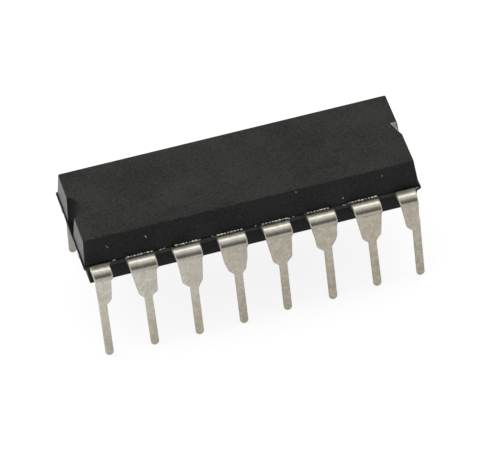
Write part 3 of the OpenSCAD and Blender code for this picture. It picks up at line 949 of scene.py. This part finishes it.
# %% Run a tree and keep its result as a plain mesh
def run_tree(piece, tree, values):
    modifier = piece.modifiers.new("shape", "NODES")
    modifier.node_group = tree
    names = {s.name: s.identifier for s in tree.interface.items_tree if s.in_out == "INPUT"}
    for title, value in values.items():
        modifier[names[title]] = value
    bpy.context.view_layer.update()
    shaped = piece.evaluated_get(bpy.context.evaluated_depsgraph_get())
    mesh = bpy.data.meshes.new_from_object(shaped)
    piece.modifiers.remove(modifier)
    piece.data = mesh
    return piece


leads = []
for n, lean in enumerate(map(radians, LEAN), start=1):
    build, bend_length = blank_mesh(n, lean)
    lead = new_piece(f"formed_lead_{n}", build, [])
    run_tree(lead, bend_tree, {"Bend Length": bend_length * MM, "Bend Angle": pi / 2 - lean,
                               "Row Turn": pi if n > 8 else 0.0, "Finish": lead_finish})
    leads.append(lead)
corners = np.array([v.co for v in leads[2].data.vertices])
print("lead 3, mesh box mm:", in_mm((corners.min(0), corners.max(0))))

# %% [markdown]
# ## Resin flash: the flake tree
# A little resin creeps along the parting between the leads, and over each lead's edge where it
# leaves the body. It breaks into thin flakes. The near-white ones at the exits are partly that
# resin and partly a painted highlight on the edge. Here lines are cut into short steps, each
# step gets a five-sided flake with chance in its size and turn, and a fixed seed keeps every
# run the same.

# %% Flake tree
flake_tree, flake_in, flake_out = tree_with_inputs("resin_flakes", {
    "Step": 0.12 * MM, "Flake Size": 0.06 * MM, "Thickness": 0.35, "Stretch": 1.6,
    "Scatter": 0.02 * MM, "Missing": 0.3, "Turn": 1.0, "Seed": 3, "Finish": None})


def chance(low, high, draw):
    """A random number or vector for each flake. The draw's number keeps the uses apart."""
    kind, first, result = ("FLOAT_VECTOR", 0, 0) if isinstance(low, tuple) else ("FLOAT", 2, 1)
    seed = calc(flake_tree, "ADD", flake_in["Seed"], float(draw))
    return add(flake_tree, "FunctionNodeRandomValue", {first: low, first + 1: high, "Seed": seed},
               data_type=kind)[result]


def scaled(vector, by):
    return add(flake_tree, "ShaderNodeVectorMath", {0: vector, "Scale": by},
               operation="SCALE")[0]


path = add(flake_tree, "GeometryNodeMeshToCurve", {0: flake_in["Geometry"]})[0]
steps = add(flake_tree, "GeometryNodeCurveToPoints", {"Curve": path, "Length": flake_in["Step"]},
            mode="LENGTH")
missing = calc(flake_tree, "LESS_THAN", chance(0.0, 1.0, 1), flake_in["Missing"])
kept = add(flake_tree, "GeometryNodeDeleteGeometry", {0: steps["Points"], 1: missing},
           domain="POINT")
shift = scaled(chance((-1.0, -1.0, -1.0), (1.0, 1.0, 1.0), 2), flake_in["Scatter"])
strewn = add(flake_tree, "GeometryNodeSetPosition", {"Geometry": kept[0], "Offset": shift})
plate = add(flake_tree, "GeometryNodeMeshCone", {"Vertices": 5, "Radius Top": 0.55,
                                                 "Radius Bottom": 1.0, "Depth": 0.5})
size = times(flake_tree, chance(0.45, 1.0, 3), flake_in["Flake Size"])
shape = add(flake_tree, "ShaderNodeCombineXYZ", {
    0: times(flake_tree, size, flake_in["Stretch"]), 1: size,
    2: times(flake_tree, size, flake_in["Thickness"])})[0]
turn = scaled(chance((-0.3, -0.3, -0.7), (0.3, 0.3, 0.7), 4), flake_in["Turn"])
placed = add(flake_tree, "GeometryNodeInstanceOnPoints", {
    "Points": strewn[0], "Instance": plate["Mesh"], "Rotation": turn,
    "Scale": shape})
end_tree(flake_tree, placed[0], flake_in["Finish"], flake_out)
print("flake tree nodes:", len(flake_tree.nodes))

# %% [markdown]
# ## Resin flash: where it lies
# Flakes lie along the parting between two leads. Smaller ones fringe the exits, except at the
# clean end leads. A few specks stick to the front slope, and a chip shows at one corner of
# the ledge. Rear leads run the other way, so their places are turned.

# %% Flash along the parting and at the lead exits
EXIT_IN, EXIT_OUT, GAP_OUT, FLASH_RISE = 0.15, 0.035, 0.05, 0.01
SPECKS = ((-8.09, 6.82, 0.15), (-5.89, 6.85, 0.19), (2.64, 7.38, 0.05),
          (5.17, 6.27, 0.03), (7.48, 7.06, 0.03))
CORNER_CHIP = ((9.12, -3.2, FRAME_TOP - 0.09), (9.36, -3.2, FRAME_TOP))


def lines_piece(name, segments):
    build = bmesh.new()
    for a, b in segments:
        build.edges.new((build.verts.new(Vector(a) * MM), build.verts.new(Vector(b) * MM)))
    return new_piece(name, build, [])


def flakes(name, segments, finish, seed, step, size, scatter, **others):
    """Step, size and scatter are in millimetres. The others have no unit."""
    inputs = {"Step": step * MM, "Flake Size": size * MM, "Scatter": scatter * MM,
              "Seed": seed, "Finish": finish}
    inputs.update({title.capitalize(): value for title, value in others.items()})
    return run_tree(lines_piece(name, segments), flake_tree, inputs)


gap_lines, exit_lines = [], []
for row in (-1, 1):
    exit_y, gap_y = row * (HALF_W + EXIT_OUT), row * (HALF_W + GAP_OUT)
    edges = [(-row * (lead_x(i) - bands(i)[0]), -row * (lead_x(i) + bands(i)[1]))
             for i in range(8)]
    for i, (start, end) in enumerate(edges):
        if 0 < i < 7:
            exit_lines.append(((start - row * EXIT_IN, exit_y, FRAME_TOP + FLASH_RISE),
                               (end + row * EXIT_IN, exit_y, FRAME_TOP + FLASH_RISE)))
        if i < 7:
            gap_lines.append(((end, gap_y, FRAME_TOP - FLASH_RISE),
                              (edges[i + 1][0], gap_y, FRAME_TOP - FLASH_RISE)))
speck_lines = []
for x, z, half in SPECKS:
    y = -half_sizes(z)[1]
    speck_lines.append(((x - half / 4, y, z + half / 2), (x + half / 4, y, z - half / 2)))
resin = [flakes("parting_flakes", gap_lines, body_finishes[BROKEN], 11, 0.12, 0.056, 0.03,
                thickness=1.0, stretch=2.2, missing=0.66, turn=1.0),
         # The near-white flakes at the exits are partly resin bleed and partly a painted highlight
         # on the edge where each lead leaves the body.
         flakes("exit_flakes", exit_lines, bleed_and_highlight_finish, 23, 0.17, 0.052, 0.006,
                thickness=1.2, stretch=2.4, missing=0.10, turn=0.12),
         flakes("resin_specks", speck_lines + [CORNER_CHIP], bleed_and_highlight_finish, 5, 0.05, 0.034, 0.012,
                thickness=0.9, stretch=1.1, missing=0.0, turn=1.0)]
print("flakes, faces:", [len(piece.data.polygons) for piece in resin])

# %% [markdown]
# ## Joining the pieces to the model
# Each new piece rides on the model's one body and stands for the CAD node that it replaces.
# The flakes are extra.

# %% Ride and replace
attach(moulded_body, "root")
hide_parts("body")
for n, lead in enumerate(leads, start=1):
    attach(lead, "root")
    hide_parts(f"lead_{n}")
for piece in resin:
    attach(piece, "root")
print("pieces joined:", 1 + len(leads) + len(resin))

# %% [markdown]
# ## Floor
# The part stands on a plain white floor. To the camera, and in reflections, the floor glows
# a little by itself, so it reads as white and still takes the soft shadow.

# %% Floor
FLOOR_HALF = 0.45
floor_mesh = bpy.data.meshes.new("floor")
floor_corners = [(x * FLOOR_HALF, y * FLOOR_HALF, 0)
                 for x, y in ((-1, -1), (1, -1), (1, 1), (-1, 1))]
floor_mesh.from_pydata(floor_corners, [], [(0, 1, 2, 3)])
floor = placed_in_scene("floor", floor_mesh)
floor_paint = bpy.data.materials.new("floor_paint")
floor_paint.use_nodes = True
tree = floor_paint.node_tree
tree.nodes.clear()
rays = add(tree, "ShaderNodeLightPath")
seen = calc(tree, "ADD", rays["Is Camera Ray"], rays["Is Glossy Ray"], clamp=True)
plain = add(tree, "ShaderNodeBsdfDiffuse", {"Color": colour(0.82, 0.82, 0.82)})[0]
shaded = add(tree, "ShaderNodeBsdfDiffuse", {"Color": colour(0.23, 0.23, 0.235)})[0]
glow = add(tree, "ShaderNodeEmission", {"Color": colour(1, 1, 1), "Strength": 0.83})[0]
white = add(tree, "ShaderNodeAddShader", {0: shaded, 1: glow})[0]
surface = add(tree, "ShaderNodeMixShader", {0: seen, 1: plain, 2: white})[0]
add(tree, "ShaderNodeOutputMaterial", {"Surface": surface})
floor_mesh.materials.append(floor_paint)
print("floor", 2 * FLOOR_HALF, "m wide")

# %% [markdown]
# ## Light
# Polished metal shows its surroundings, so the light is a bright overcast dome that darkens
# toward the front, above a pale strip just over the horizon. They draw the dark and the pale
# lines under the highlight of each bend. One large soft lamp hangs above and makes the
# highlight itself, and one stands behind on the left.

# %% World and lamps
world = bpy.data.worlds.new("studio")
world.use_nodes = True
scene.world = world
tree = world.node_tree
tree.nodes.clear()
direction = add(tree, "ShaderNodeTexCoord")["Generated"]
toward = add(tree, "ShaderNodeSeparateXYZ", {0: direction})
level = calc(tree, "MAXIMUM", span(tree, toward[1], -0.98, -0.19, 0.15, 0.98),
             span(tree, toward[2], 0.14, 0.06, 0.0, 0.75))
sky = add(tree, "ShaderNodeBackground", {"Color": colour(1, 0.995, 0.985), "Strength": level})[0]
add(tree, "ShaderNodeOutputWorld", {"Surface": sky})


def soft_lamp(name, place, aim, size, watts, tint):
    lamp_data = bpy.data.lights.new(name, "AREA")
    lamp_data.shape, lamp_data.size, lamp_data.size_y = "RECTANGLE", size[0], size[1]
    lamp_data.energy, lamp_data.color = watts, tint
    lamp = placed_in_scene(name, lamp_data)
    lamp.location = place
    lamp.rotation_euler = (Vector(aim) - Vector(place)).to_track_quat("-Z", "Y").to_euler()


soft_lamp("overhead", (-0.04, 0.08, 0.42), (-0.04, 0.08, 0), (0.56, 0.22), 0.32,
          (1.0, 0.985, 0.95))
soft_lamp("rear_left", (-0.34, 0.26, 0.26), (0, 0, 0.004), (0.26, 0.26), 0.30, (1.0, 0.99, 0.97))

# %% [markdown]
# ## Size
# This cell only brings the scene up to date.

# %% Bring the scene up to date
bpy.context.view_layer.update()
